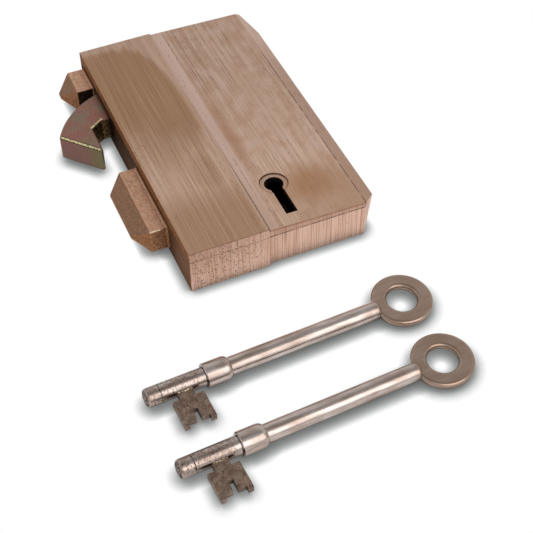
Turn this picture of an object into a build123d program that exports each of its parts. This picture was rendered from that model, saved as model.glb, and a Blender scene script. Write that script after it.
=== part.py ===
"""Bronze gate lock: cast case, five levers, a swinging hook bolt and two long keys.

The frame's origin is on the keyhole's axis, in the plane of the case's underside.
+X points from the bolt side to the back edge, +Y towards the hook's end and +Z up
through the cover. The hook is thrown, which is the locked position.
"""
import os
from math import atan, cos, degrees, radians, sin, tan

from build123d import *

os.makedirs("parts", exist_ok=True)


# Case and cover, in millimetres
backset = 40.0               # bolt face to the keyhole's axis
end_distance = 22.0          # near end to the keyhole's axis
case_length = 120.0
case_width = 70.2
case_wall = 2.8
end_wall = 3.2
back_wall = 3.3
floor_thickness = 2.0
cavity_corner = 2.0
seam_height = 13.4           # where the cover sits on the case
raised_width = 29.0          # the thicker half, on the bolt side
raised_height = 17.4
step_down = 1.0              # from the raised half to the plain half
plain_fall = 1.0             # fall of the plain half's top towards the back
near_recess = 0.35           # plain half's near end lies back from the raised half's
far_overhang = 0.7           # and its far end stands out past it
end_draft = 0.055            # draft of the plain half's ends, mm per mm
back_draft = 0.37            # draft of the back, mm per mm
rim_width = 4.9
rim_height = 15.0
rim_edge_height = 13.0
near_corner_cut = 5.2
near_corner_foot = 0.3       # what is left of that cut at the underside
far_corner_cut = 3.3
far_corner_run = 13.0
cover_corner_cut = 0.4
cover_gap = 0.2              # between the cover's back edge and the rim
seam_chamfer = 0.15          # the cover's lower edge, which shows as a thin dark seam
corner_radius = 0.4
plain_edge_radius = 0.6
raised_edge_radius = 0.3

# Keyhole, with the collar's shallow seat round it
keyhole_radius = 3.45
keyhole_slot = 4.35
keyhole_reach = 16.1
seat_radius = 5.1
seat_depth = 0.45

# Locating lugs on the bolt face
lug_bottom = 2.4
lug_top = 12.0
lug_reach = 6.5
lug_nose = 5.6
lug_hip = 5.2
lug_root_radius = 1.0
lug_ridge = 1.0
lug_edge_radius = 0.35
near_lug_y = -1.5
near_lug_length = 33.4
far_lug_inset = 16.6         # of its near end from the case's far end
far_lug_length = 13.2

# Hook bolt
hook_pivot_depth = 10.8      # from the bolt face
hook_pivot_y = 45.7
hook_radius = 33.2
hook_bottom = 2.1
hook_top = 12.0
hook_swing = 58.0            # degrees from locked to clear of the bolt face
throat_width = 8.5
tip_rise = 0.9               # of the beak's tip above the pivot's line
beak_angle = 156.2           # of the beak's outer corner about the pivot
heel_angle = 100.0
throat_top = 60.3
throat_corner_cut = 1.0
throat_lip_out = 3.5         # where the claw's inner edge turns up towards the neck
throat_lip_rise = 2.6
neck_rise = 3.2
hook_hub_radius = 6.6
hook_relief_radius = 14.0    # the hub is thinned so that the slide runs under it
hook_pin_radius = 3.0
hook_edge_radius = 0.8       # soft edges, outside the measured top outline
hook_slot_near = 60.5
hook_slot_far = 79.2
tail_length = 11.6
tail_half_width = 3.2
tail_slot = 3.2

# Slide, stump and drive pin
slide_travel = 8.5
slide_bottom = 2.15
slide_thickness = 2.35
slide_low_edge = 12.8
slide_high_edge = 27.0
slide_left = -27.0
slide_end_gap = 0.5          # to the cavity's back wall
rib_width = 1.6
left_rib_length = 10.0
right_rib_length = 5.0
slide_corner = 4.0
arm_inset = 7.0              # of the arm's root from the slide's left end
arm_shoulder = 5.0
talon_width = 7.5
talon_depth = 2.9
stump_y = 20.0
stump_width = 2.2
stump_height = 4.0
drive_pin_radius = 1.3
arm_half_width = 3.4
stud_radius = 2.0
stud_x = 11.0
hub_gap = 0.2                # between the slide and the hub above it
pin_seat_depth = 1.2
cover_seat_depth = 2.2
pin_chamfer = 0.3

# Levers
lever_count = 5
lever_pitch = 1.3
lever_thickness = 1.2
lever_post_radius = 2.5
lever_post_x = -16.0
lever_lifts = [1.8, 1.5, 1.9, 1.6, 1.7]      # at the belly, to line the gate up
lever_top_edge = 26.5
lever_low_edge = 13.1
lever_nose = 13.0
lever_nose_corner = 2.0
lever_hub_radius = 5.0
belly_half_width = 7.0       # of the arc that the key's bit lifts
pocket_top = 22.4
pocket_bottom = 14.9
thrown_pocket_width = 5.5
drawn_pocket_width = 6.0
bar_width = 1.0              # between the pockets, where the gate passes
gate_height = 5.7
spring_thickness = 0.35
spring_grip = 1.5            # depth of the leaf in the lever's edge
spring_rise = 2.5
spring_bend = 3.0
spring_side_gap = 0.15       # to the lever's faces
spring_post_radius = 1.5
spring_post_offset = (4.0, 7.7)   # from the lever post along x, from the levers' top edge

# Fits
running = 0.05
slide_gap = 0.15
end_play = 0.2

# Fasteners
screw_radius = 1.5
screw_head_radius = 3.0
screw_clearance = 0.1
screw_inset = 4.7            # from the case's ends
screw_side_inset = 10.0      # from the bolt face
screw_skin = 0.6             # of cover left above the tapped holes
driver_slot = 0.8
boss_wall = 0.4
fixing_radius = 2.5          # tapping size of an M6 hole
fixing_depth = 9.0
fixing_boss_radius = 5.0
fixing_inset = 18.0          # of the far fixing hole from the case's far end

# Keys
key_radius = 3.2
key_tip = 20.3               # tip to the collar's front
key_tip_radius = 1.4
key_ring_place = 5.0         # turned line, from the tip
key_ring_depth = 0.15
collar_radius = 4.2
collar_length = 8.9
collar_edge = 0.3
collar_shoulder = 2.3        # rounded shoulder behind the collar
bow_distance = 72.0          # collar's front to the bow's centre
bow_radius = 10.45
bow_hole_radius = 5.1
bow_thickness = 2.8
bow_edge_radius = 1.15
bow_socket = 1.7             # how far the shank grips the bow
shank_end_radius = 1.35
bit_width = 10.65            # along the key
bit_thickness = 2.5
bit_shoulder = 5.6
bit_neck = 5.2
bit_tooth_reach = 15.4
bit_step_reach = 14.1
bit_notch_reach = 10.4
bit_tooth_width = 1.8
bit_notch_width = 1.65
key_roll = 5.0
key_1_x = -50.5              # the collar's front, as each key lies beside the case
key_1_y = -61.45
key_1_azimuth = 3.4
key_2_x = -50.35
key_2_y = -90.4
key_2_azimuth = 3.9

# Values worked out from the driving sizes
bolt_face = -backset
near_end = -end_distance
far_end = near_end + case_length
far_lug_y = far_end - far_lug_inset
step_x = bolt_face + raised_width
back_edge = bolt_face + case_width
cover_edge = back_edge - rim_width
plain_height = raised_height - step_down
hook_x = bolt_face + hook_pivot_depth
case_middle = (near_end + far_end) / 2
cavity_left = bolt_face + case_wall
cavity_right = cover_edge - back_wall
cavity_near = near_end + end_wall
cavity_far = far_end - end_wall
slide_top = slide_bottom + slide_thickness
slide_right = cavity_right - slide_end_gap
hub_bottom = slide_top + hub_gap
stump_x = slide_travel / 2
pin_bottom = floor_thickness - pin_seat_depth
pin_top = seam_height + cover_seat_depth


def plain_top(x):
    """Height of the plain half's sloping top at x."""
    return plain_height - plain_fall * (x - step_x) / (cover_edge - step_x)


# The key works from either side, so its bit and the levers lie midway between its two stops
key_middle = (plain_top(0) - seat_depth) / 2
bit_far = key_middle + bit_width / 2
bit_near = key_middle - bit_width / 2
lever_base = key_middle - lever_thickness / 2 - (lever_count - 1) * lever_pitch / 2
lever_stack_top = lever_base + lever_count * lever_pitch


def plain_ends(z):
    """Near and far ends of the plain half, which draw in below the seam."""
    draft = end_draft * max(seam_height - z, 0)
    return near_end + near_recess + draft, far_end + far_overhang - draft


def plain_outline(z):
    """Corners of the plain half of the case at height z, anticlockwise."""
    back = back_edge - back_draft * (rim_edge_height - z)
    cut = near_corner_foot + (near_corner_cut - near_corner_foot) * z / rim_edge_height
    near, far = plain_ends(z)
    return [
        (step_x, near),
        (back - cut, near),
        (back, near + cut),
        (back, far - far_corner_run),
        (back - far_corner_cut, far),
        (step_x, far),
    ]


def polar(centre, radius, angle):
    """Point at a distance and an angle in degrees from a centre."""
    return (
        centre[0] + radius * cos(radians(angle)),
        centre[1] + radius * sin(radians(angle)),
    )


screw_places = [
    (bolt_face + screw_side_inset, near_end + screw_inset),
    (9.0, near_end + screw_inset),
    (bolt_face + screw_side_inset, far_end - screw_inset),
    (14.0, far_end - screw_inset),
]
screw_length = plain_top(screw_places[3][0]) - screw_skin
fixing_places = [(12.0, 42.0), (12.0, far_end - fixing_inset), (-26.0, -6.0)]


# Lower case: floor, walls, rim, lugs, bosses and the hook's slot
with BuildPart() as lower_case:
    with BuildSketch(Plane.XY) as raised_block:
        with Locations((bolt_face, near_end)):
            Rectangle(raised_width, case_length, align=(Align.MIN, Align.MIN))
    extrude(amount=seam_height)

    with BuildSketch(Plane.XY) as plain_foot:
        with BuildLine():
            Polyline(*plain_outline(0), close=True)
        make_face()
    with BuildSketch(Plane.XY.offset(seam_height)) as plain_seam:
        with BuildLine():
            Polyline(*plain_outline(seam_height), close=True)
        make_face()
    loft(ruled=True)

    # the rim rises past the seam and slopes down to the back edge
    with BuildSketch(Plane.XY.offset(seam_height)) as rim_outline:
        with BuildLine():
            Polyline(*plain_outline(seam_height), close=True)
        make_face()
        with Locations((bolt_face, near_end - 1)):
            Rectangle(
                cover_edge + cover_gap - bolt_face,
                case_length + 2,
                align=(Align.MIN, Align.MIN),
                mode=Mode.SUBTRACT,
            )
    extrude(amount=rim_height - seam_height)
    rim_slope = (rim_height - rim_edge_height) / (back_edge - cover_edge - cover_gap)
    with BuildSketch(Plane.XZ.offset(-near_end + 1)) as rim_slope_cut:
        with BuildLine():
            Polyline(
                (cover_edge + cover_gap, rim_height),
                (back_edge + 3, rim_height - rim_slope * (rim_width - cover_gap + 3)),
                (back_edge + 3, rim_height + 1),
                (cover_edge + cover_gap, rim_height + 1),
                close=True,
            )
        make_face()
    extrude(amount=-(case_length + 2), mode=Mode.SUBTRACT)

    # the two hipped lugs
    for lug_y, lug_length in ((near_lug_y, near_lug_length), (far_lug_y, far_lug_length)):
        lug_middle = lug_y + lug_length / 2
        lug_height = lug_top - lug_bottom
        root = Plane((bolt_face + 0.5, lug_middle, (lug_top + lug_bottom) / 2), (0, 1, 0), (-1, 0, 0))
        with BuildSketch(root) as lug_root:
            Rectangle(lug_length, lug_height)
        extrude(amount=lug_reach + 0.5)
        with BuildSketch(root.offset(lug_reach + 0.5)) as nose_root:
            Rectangle(lug_length, lug_height)
        with BuildSketch(root.offset(lug_reach + 0.5 + lug_nose)) as nose_ridge:
            Rectangle(lug_length - 2 * lug_hip, lug_ridge)
        loft(ruled=True)

    lug_end = bolt_face - lug_reach - lug_nose
    lug_edges = lower_case.edges().filter_by_position(Axis.X, lug_end - 1, bolt_face - 2)
    fillet(lug_edges, radius=lug_edge_radius)
    root_edges = (
        lower_case.edges()
        .filter_by(Axis.Y)
        .filter_by_position(Axis.X, bolt_face - 0.01, bolt_face + 0.01)
        .filter_by_position(Axis.Z, lug_top - 0.01, lug_top + 0.01)
    )
    fillet(root_edges, radius=lug_root_radius)
    corner_edges = (
        lower_case.edges()
        .filter_by(Axis.Z)
        .filter_by_position(Axis.X, bolt_face - 0.01, bolt_face + 0.01)
    )
    end_corners = corner_edges.filter_by(lambda e: abs(e.center().Y - case_middle) > case_length / 2 - 1)
    fillet(end_corners, radius=corner_radius)

    # cavity, with the screw bosses and fixing bosses left standing
    with BuildSketch(Plane.XY.offset(floor_thickness)) as cavity:
        with Locations((cavity_left, cavity_near)):
            RectangleRounded(
                cavity_right - cavity_left,
                cavity_far - cavity_near,
                cavity_corner,
                align=(Align.MIN, Align.MIN),
            )
        with Locations(*screw_places):
            Circle(screw_head_radius + boss_wall, mode=Mode.SUBTRACT)
        with Locations(*fixing_places):
            Circle(fixing_boss_radius, mode=Mode.SUBTRACT)
    extrude(amount=seam_height, mode=Mode.SUBTRACT)

    # ribs that guide the slide's lower edge
    with BuildSketch(Plane.XY.offset(floor_thickness)) as slide_ribs:
        rib_y = slide_low_edge - slide_gap - rib_width / 2
        with Locations((slide_left + 0.3 * left_rib_length, rib_y)):
            Rectangle(left_rib_length, rib_width)
        with Locations((cavity_right - right_rib_length / 2, rib_y)):
            Rectangle(right_rib_length, rib_width)
    extrude(amount=slide_top - floor_thickness)

    # slot in the bolt face for the hook
    with BuildSketch(Plane.XY.offset(hook_bottom - 0.3)) as hook_slot:
        with Locations((bolt_face - 1, hook_slot_near)):
            Rectangle(
                case_wall + 2, hook_slot_far - hook_slot_near, align=(Align.MIN, Align.MIN)
            )
    extrude(amount=seam_height, mode=Mode.SUBTRACT)

    # keyhole through the floor
    with BuildSketch(Plane.XY) as keyhole_below:
        Circle(keyhole_radius)
        Rectangle(keyhole_slot, keyhole_reach, align=(Align.CENTER, Align.MAX))
    extrude(amount=floor_thickness, mode=Mode.SUBTRACT)

    # screw holes, countersunk from below, and tapped fixing holes
    with Locations(*[Location((x, y, 0), (180, 0, 0)) for x, y in screw_places]):
        CounterSinkHole(
            screw_radius + screw_clearance,
            screw_head_radius + screw_clearance,
            depth=seam_height + 1,
            counter_sink_angle=90,
        )
    with BuildSketch(Plane.XY) as fixing_holes:
        with Locations(*fixing_places):
            Circle(fixing_radius)
    extrude(amount=fixing_depth, mode=Mode.SUBTRACT)

    # blind seats for the pins and posts
    with BuildSketch(Plane.XY.offset(pin_bottom)) as floor_seats:
        with Locations((hook_x, hook_pivot_y)):
            Circle(hook_pin_radius)
        with Locations((lever_post_x, stump_y)):
            Circle(lever_post_radius)
        with Locations((stud_x, stump_y)):
            Circle(stud_radius)
    extrude(amount=floor_thickness - pin_bottom, mode=Mode.SUBTRACT)
lower_case.part.label = "lower_case"


# Cover plate: thicker over the bolt half, with a sloping plain half
with BuildPart() as cover_plate:
    with BuildSketch(Plane.XY.offset(seam_height)) as cover_raised:
        with Locations((bolt_face, near_end)):
            Rectangle(raised_width, case_length, align=(Align.MIN, Align.MIN))
    extrude(amount=raised_height - seam_height)
    cover_corners = (
        cover_plate.edges()
        .filter_by(Axis.Z)
        .filter_by_position(Axis.X, bolt_face - 0.01, bolt_face + 0.01)
    )
    fillet(cover_corners, radius=corner_radius)
    cover_near, cover_far = plain_ends(seam_height)
    with BuildSketch(Plane.XY.offset(seam_height)) as cover_plain:
        with BuildLine():
            Polyline(
                (step_x, cover_near),
                (cover_edge - cover_corner_cut, cover_near),
                (cover_edge, cover_near + cover_corner_cut),
                (cover_edge, cover_far - cover_corner_cut),
                (cover_edge - cover_corner_cut, cover_far),
                (step_x, cover_far),
                close=True,
            )
        make_face()
    extrude(amount=plain_height - seam_height)
    with BuildSketch(Plane.XZ.offset(-near_end + 1)) as cover_slope_cut:
        with BuildLine():
            Polyline(
                (step_x, plain_top(step_x)),
                (cover_edge + 1, plain_top(cover_edge + 1)),
                (cover_edge + 1, plain_height + 1),
                (step_x, plain_height + 1),
                close=True,
            )
        make_face()
    extrude(amount=-(case_length + 2), mode=Mode.SUBTRACT)

    # soft edges left by the linishing belt
    plain_edges = (
        cover_plate.edges()
        .filter_by_position(Axis.X, step_x + 0.5, cover_edge - 0.3)
        .filter_by_position(Axis.Z, plain_top(cover_edge) - 0.1, plain_height + 0.1)
    )
    fillet(plain_edges, radius=plain_edge_radius)
    raised_edges = (
        cover_plate.edges()
        .filter_by_position(Axis.Z, raised_height - 0.01, raised_height + 0.01)
    )
    fillet(raised_edges, radius=raised_edge_radius)
    chamfer(cover_plate.faces().sort_by(Axis.Z)[0].edges(), length=seam_chamfer)

    # keyhole, with a shallow round seat for the key's collar
    with BuildSketch(Plane.XY.offset(seam_height)) as keyhole_above:
        Circle(keyhole_radius)
        Rectangle(keyhole_slot, keyhole_reach, align=(Align.CENTER, Align.MAX))
    extrude(amount=raised_height, mode=Mode.SUBTRACT)
    with BuildSketch(Plane.XY.offset(plain_top(0) - seat_depth)) as collar_seat:
        Circle(seat_radius)
    extrude(amount=raised_height, mode=Mode.SUBTRACT)

    # tapped screw holes and blind seats for the pins
    with BuildSketch(Plane.XY.offset(seam_height)) as tapped_holes:
        with Locations(*screw_places):
            Circle(screw_radius)
    extrude(amount=screw_length - seam_height, mode=Mode.SUBTRACT)
    with BuildSketch(Plane.XY.offset(seam_height)) as cover_seats:
        with Locations((hook_x, hook_pivot_y)):
            Circle(hook_pin_radius)
        with Locations((lever_post_x, stump_y)):
            Circle(lever_post_radius)
    extrude(amount=pin_top - seam_height, mode=Mode.SUBTRACT)
cover_plate.part.label = "cover_plate"


# Four countersunk screws that hold the cover from below
with BuildPart() as cover_screws:
    with BuildSketch(Plane.XY) as screw_shanks:
        with Locations(*screw_places):
            Circle(screw_radius)
    extrude(amount=screw_length)
    for x, y in screw_places:
        with BuildSketch(Plane((x, y, 0), (1, 0, 0), (0, -1, 0))) as head_profile:
            with BuildLine():
                Polyline(
                    (0, 0),
                    (screw_head_radius, 0),
                    (screw_radius, screw_head_radius - screw_radius),
                    (0, screw_head_radius - screw_radius),
                    close=True,
                )
            make_face()
        revolve(axis=Axis((x, y, 0), (0, 0, 1)))
    with BuildSketch(Plane.XY) as driver_slots:
        with Locations(*screw_places):
            Rectangle(2 * screw_head_radius, driver_slot)
    extrude(amount=driver_slot, mode=Mode.SUBTRACT)
cover_screws.part.label = "cover_screws"


# Hook pivot pin, lever post with its washer, guide stud and spring post
def upright(name, x, radius, bottom, top, y=stump_y):
    """A plain turned pin standing in its seat."""
    with BuildPart() as pin:
        with BuildSketch(Plane((x, y, bottom), (1, 0, 0), (0, 0, 1))):
            Circle(radius)
        extrude(amount=top - bottom)
        chamfer(pin.faces().sort_by(Axis.Z)[-1].edges(), length=pin_chamfer)
    pin.part.label = name
    return pin.part


hook_pin = upright("hook_pin", hook_x, hook_pin_radius, pin_bottom, pin_top, hook_pivot_y)
lever_post = upright("lever_post", lever_post_x, lever_post_radius, pin_bottom, pin_top)
guide_stud = upright("guide_stud", stud_x, stud_radius, pin_bottom, slide_top + 0.05)

with BuildPart() as lever_washer:
    with BuildSketch(Plane.XY.offset(lever_stack_top)):
        with Locations((lever_post_x, stump_y)):
            Circle(lever_post_radius + 1.8)
            Circle(lever_post_radius, mode=Mode.SUBTRACT)
    extrude(amount=seam_height - lever_stack_top)
lever_washer.part.label = "lever_washer"

spring_post_place = (lever_post_x + spring_post_offset[0], lever_top_edge + spring_post_offset[1])
with BuildPart() as spring_post:
    with BuildSketch(Plane.XY.offset(floor_thickness)):
        with Locations(spring_post_place):
            Circle(spring_post_radius)
    extrude(amount=seam_height - floor_thickness)
spring_post.part.label = "spring_post"


# Hook bolt: claw outside, hub on its pin, and a forked tail that the slide drives
pivot = (hook_x, hook_pivot_y)
drive_offset = slide_travel / 2 / tan(radians(hook_swing / 2))
drive_start = (hook_x + slide_travel / 2, hook_pivot_y - drive_offset)
tail_angle = 270 + hook_swing / 2
tip = (bolt_face - throat_width, hook_pivot_y + tip_rise)
beak_corner = polar(pivot, hook_radius, beak_angle)
heel = polar(pivot, hook_radius, heel_angle)
hub_left = (hook_x - hook_hub_radius + hook_edge_radius, hook_pivot_y)
hub_right = (hook_x + hook_hub_radius - hook_edge_radius, hook_pivot_y)
neck_inside = (hub_left[0], throat_top + neck_rise)
throat_lip = (bolt_face - throat_lip_out, throat_top + throat_lip_rise)
throat_corner = (tip[0] + throat_corner_cut, throat_top)
with BuildPart() as hook_bolt:
    with BuildSketch(Plane.XY.offset(hook_bottom)) as hook_outline:
        with BuildLine():
            Line(tip, beak_corner)
            RadiusArc(beak_corner, heel, hook_radius)
            Polyline(heel, hub_right, hub_left, neck_inside, throat_lip, throat_corner)
            Polyline(throat_corner, (tip[0], throat_top - throat_corner_cut), tip)
        make_face()
        offset(amount=hook_edge_radius)
        with Locations(pivot):
            Circle(hook_hub_radius)
    extrude(amount=hook_top - hook_bottom)
    rim_edges = hook_bolt.faces().sort_by(Axis.Z)[-1].outer_wire().edges()
    rim_edges += hook_bolt.faces().sort_by(Axis.Z)[0].outer_wire().edges()
    fillet(rim_edges, radius=hook_edge_radius - 0.05)

    # tail with its open slot, thinned like the hub so that the slide runs below
    with BuildSketch(Plane.XY.offset(hub_bottom)) as tail_outline:
        tail_centre = polar(pivot, (tail_length - tail_half_width) / 2, tail_angle)
        with Locations(Location((*tail_centre, 0), (0, 0, tail_angle))):
            Rectangle(tail_length - tail_half_width, 2 * tail_half_width)
        with Locations(polar(pivot, tail_length - tail_half_width, tail_angle)):
            Circle(tail_half_width)
    extrude(amount=hook_top - hub_bottom)
    with BuildSketch(Plane.XY.offset(hook_bottom)) as tail_cut:
        with Locations(Location((*polar(pivot, tail_length, tail_angle), 0), (0, 0, tail_angle))):
            SlotCenterToCenter(2 * (tail_length - drive_offset), tail_slot)
        with Locations(pivot):
            Circle(hook_pin_radius + running)
    extrude(amount=hook_top - hook_bottom, mode=Mode.SUBTRACT)
    with BuildSketch(Plane.XY.offset(hook_bottom)) as hub_relief:
        with Locations(pivot):
            Circle(hook_relief_radius)
    extrude(amount=hub_bottom - hook_bottom, mode=Mode.SUBTRACT)
hook_bolt.part.label = "hook_bolt"


# Slide: talon for the key, arm for the drive pin, guide slots for the post and stud
with BuildPart() as bolt_slide:
    with BuildSketch(Plane.XY.offset(slide_bottom)) as slide_plate:
        with BuildLine():
            Polyline(
                (slide_left, slide_low_edge),
                (slide_right, slide_low_edge),
                (slide_right, slide_high_edge - slide_corner),
                (slide_right - slide_corner, slide_high_edge),
                (slide_left + 2 * arm_inset, slide_high_edge),
                (slide_left + arm_inset, slide_high_edge + arm_shoulder),
                (drive_start[0] + arm_half_width, drive_start[1]),
                (drive_start[0] - arm_half_width, drive_start[1]),
                (slide_left, slide_high_edge),
                close=True,
            )
        make_face()
        with Locations(drive_start):
            Circle(arm_half_width)
            Circle(drive_pin_radius, mode=Mode.SUBTRACT)
        with Locations((stump_x, slide_low_edge)):
            Rectangle(talon_width, 2 * talon_depth, mode=Mode.SUBTRACT)
        with Locations((lever_post_x + slide_travel / 2, stump_y)):
            SlotCenterToCenter(
                slide_travel, 2 * (lever_post_radius + running), mode=Mode.SUBTRACT
            )
        with Locations((slide_right, stump_y)):
            SlotCenterToCenter(
                2 * (slide_right - stud_x), 2 * (stud_radius + running), mode=Mode.SUBTRACT
            )
        with Locations((stump_x, stump_y)):
            Rectangle(stump_width, stump_height, mode=Mode.SUBTRACT)
    extrude(amount=slide_thickness)
bolt_slide.part.label = "bolt_slide"

with BuildPart() as bolt_stump:
    with BuildSketch(Plane.XY.offset(slide_bottom)):
        with Locations((stump_x, stump_y)):
            Rectangle(stump_width, stump_height)
    extrude(amount=lever_stack_top + end_play - slide_bottom)
bolt_stump.part.label = "bolt_stump"

with BuildPart() as drive_pin:
    with BuildSketch(Plane.XY.offset(slide_bottom)):
        with Locations(drive_start):
            Circle(drive_pin_radius)
    extrude(amount=hook_top - 0.5 - slide_bottom)
drive_pin.part.label = "drive_pin"


# Five levers, each gated where the key's cut brings it, and their leaf springs
belly_left = (-belly_half_width, lever_low_edge)
belly_right = (belly_half_width, lever_low_edge)
pocket_middle = (pocket_top + pocket_bottom) / 2
spring_foot = (lever_nose - 1.5 * lever_nose_corner, lever_top_edge - spring_grip)
spring_top = (spring_foot[0], lever_top_edge + spring_rise)
spring_turn = (spring_foot[0] - spring_bend, spring_top[1] + spring_bend)
spring_end = (
    spring_post_place[0] - spring_post_radius,
    spring_post_place[1] - spring_post_radius - spring_thickness,
)
levers = []
lever_springs = []
for index in range(lever_count):
    lift = lever_lifts[index]
    key_reach = bit_notch_reach if index == lever_count // 2 else bit_step_reach
    belly = key_reach - lift
    bottom = lever_base + index * lever_pitch
    gate_y = stump_y - lift
    with BuildPart() as lever:
        with BuildSketch(Plane.XY.offset(bottom)) as lever_blank:
            with BuildLine():
                Polyline(
                    belly_right,
                    (lever_nose, lever_low_edge + 2 * lever_nose_corner),
                    (lever_nose, lever_top_edge - lever_nose_corner),
                    (lever_nose - lever_nose_corner, lever_top_edge),
                    (-belly_half_width, lever_top_edge),
                    (lever_post_x, stump_y + lever_hub_radius),
                    (lever_post_x, stump_y - lever_hub_radius),
                    belly_left,
                )
                ThreePointArc(belly_left, (0, belly), belly_right)
            make_face()
            with Locations((lever_post_x, stump_y)):
                Circle(lever_hub_radius)
                Circle(lever_post_radius + running, mode=Mode.SUBTRACT)
            # pockets for the thrown and the drawn bolt, joined by the gate
            for side, pocket_width in ((1, thrown_pocket_width), (-1, drawn_pocket_width)):
                with Locations((side * (bar_width + pocket_width) / 2, pocket_middle)):
                    Rectangle(pocket_width, pocket_top - pocket_bottom, mode=Mode.SUBTRACT)
            with Locations((0, gate_y)):
                Rectangle(2 * bar_width, gate_height, mode=Mode.SUBTRACT)
            with Locations((spring_foot[0], lever_top_edge)):
                Rectangle(spring_thickness, 2 * spring_grip, mode=Mode.SUBTRACT)
        extrude(amount=lever_thickness)
    lever.part.label = f"lever_{index + 1}"
    levers.append(lever.part)

    with BuildPart() as spring:
        with BuildSketch(Plane.XY.offset(bottom + spring_side_gap)) as leaf:
            with BuildLine() as leaf_line:
                rise = Line(spring_foot, spring_top)
                bend = TangentArc(rise @ 1, spring_turn, tangent=rise % 1)
                Line(bend @ 1, spring_end)
            trace(line_width=spring_thickness)
        extrude(amount=lever_thickness - 2 * spring_side_gap)
    spring.part.label = f"lever_spring_{index + 1}"
    lever_springs.append(spring.part)


# Two keys: shank with collar and slotted end, brazed bit, and ring bow
def make_key(name, x, y, azimuth):
    """Three pieces of a key that lies on its collar and the end of its shank."""
    shank_end = bow_distance - bow_radius + bow_socket
    collar_rest = collar_length - collar_shoulder
    shank_rest = shank_end - shank_end_radius
    pitch = degrees(atan((collar_radius - key_radius) / (shank_rest - collar_rest)))
    height = collar_radius * cos(radians(pitch)) + collar_rest * sin(radians(pitch))
    place = Location((x, y, height), (0, 0, azimuth))
    lie = Plane(place * Location((0, 0, 0), (0, pitch, 0)) * Location((0, 0, 0), (key_roll, 0, 0)))
    shank_axis = Axis(lie.origin, lie.x_dir)
    ring = -key_tip + key_ring_place

    with BuildPart() as shank:
        with BuildSketch(lie) as shank_profile:
            with BuildLine():
                RadiusArc(
                    (shank_end - shank_end_radius, key_radius),
                    (shank_end, key_radius - shank_end_radius),
                    shank_end_radius,
                )
                Polyline(
                    (shank_end, key_radius - shank_end_radius),
                    (shank_end, 0),
                    (-key_tip, 0),
                    (-key_tip, key_radius - key_tip_radius),
                )
                RadiusArc(
                    (-key_tip, key_radius - key_tip_radius),
                    (-key_tip + key_tip_radius, key_radius),
                    key_tip_radius,
                )
                Polyline(
                    (-key_tip + key_tip_radius, key_radius),
                    (ring - key_ring_depth, key_radius),
                    (ring, key_radius - key_ring_depth),
                    (ring + key_ring_depth, key_radius),
                    (0, key_radius),
                    (0, collar_radius - collar_edge),
                    (collar_edge, collar_radius),
                    (collar_length - collar_shoulder, collar_radius),
                )
                Spline(
                    (collar_length - collar_shoulder, collar_radius),
                    (collar_length, key_radius),
                    tangents=((1, 0), (0.5, -1)),
                )
                Line((collar_length, key_radius), (shank_end - shank_end_radius, key_radius))
            make_face()
        revolve(axis=shank_axis)
        with BuildSketch(lie.offset(-bow_thickness / 2)) as bow_seat:
            with Locations((bow_distance, 0)):
                Circle(bow_radius)
        extrude(amount=bow_thickness, mode=Mode.SUBTRACT)
    shank.part.label = f"{name}_shank"

    with BuildPart() as bow:
        with BuildSketch(lie.offset(-bow_thickness / 2)) as bow_ring:
            with Locations((bow_distance, 0)):
                Circle(bow_radius)
                Circle(bow_hole_radius, mode=Mode.SUBTRACT)
        extrude(amount=bow_thickness)
        fillet(bow.edges(), radius=bow_edge_radius)
    bow.part.label = f"{name}_bow"

    middle = -key_middle
    tooth = bit_tooth_width
    notch = bit_notch_width / 2
    with BuildPart() as bit:
        with BuildSketch(lie.offset(-bit_thickness / 2)) as bit_outline:
            with BuildLine():
                Polyline(
                    (middle - bit_neck / 2, 0),
                    (middle - bit_neck / 2, -bit_shoulder),
                    (-bit_far, -bit_shoulder),
                    (-bit_far, -bit_tooth_reach),
                    (-bit_far + tooth, -bit_tooth_reach),
                    (-bit_far + tooth, -bit_step_reach),
                    (middle - notch, -bit_step_reach),
                    (middle - notch, -bit_notch_reach),
                    (middle + notch, -bit_notch_reach),
                    (middle + notch, -bit_step_reach),
                    (-bit_near - tooth, -bit_step_reach),
                    (-bit_near - tooth, -bit_tooth_reach),
                    (-bit_near, -bit_tooth_reach),
                    (-bit_near, -bit_shoulder),
                    (middle + bit_neck / 2, -bit_shoulder),
                    (middle + bit_neck / 2, 0),
                    close=True,
                )
            make_face()
        extrude(amount=bit_thickness)
        with BuildSketch(Plane(shank_axis.position, z_dir=shank_axis.direction).offset(-key_tip)):
            Circle(key_radius)
        extrude(amount=key_tip, mode=Mode.SUBTRACT)
    bit.part.label = f"{name}_bit"
    return [shank.part, bow.part, bit.part]


keys = make_key("key_1", key_1_x, key_1_y, key_1_azimuth)
keys += make_key("key_2", key_2_x, key_2_y, key_2_azimuth)


# Write each piece
pieces = [
    lower_case.part,
    cover_plate.part,
    cover_screws.part,
    hook_pin,
    lever_post,
    guide_stud,
    lever_washer.part,
    spring_post.part,
    hook_bolt.part,
    bolt_slide.part,
    bolt_stump.part,
    drive_pin.part,
    *levers,
    *lever_springs,
    *keys,
]
for piece in pieces:
    export_step(piece, f"parts/{piece.label}.step")
print(len(pieces), "pieces written")
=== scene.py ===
import math

import bmesh
import bpy
from mathutils import Matrix, Vector, noise


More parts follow.
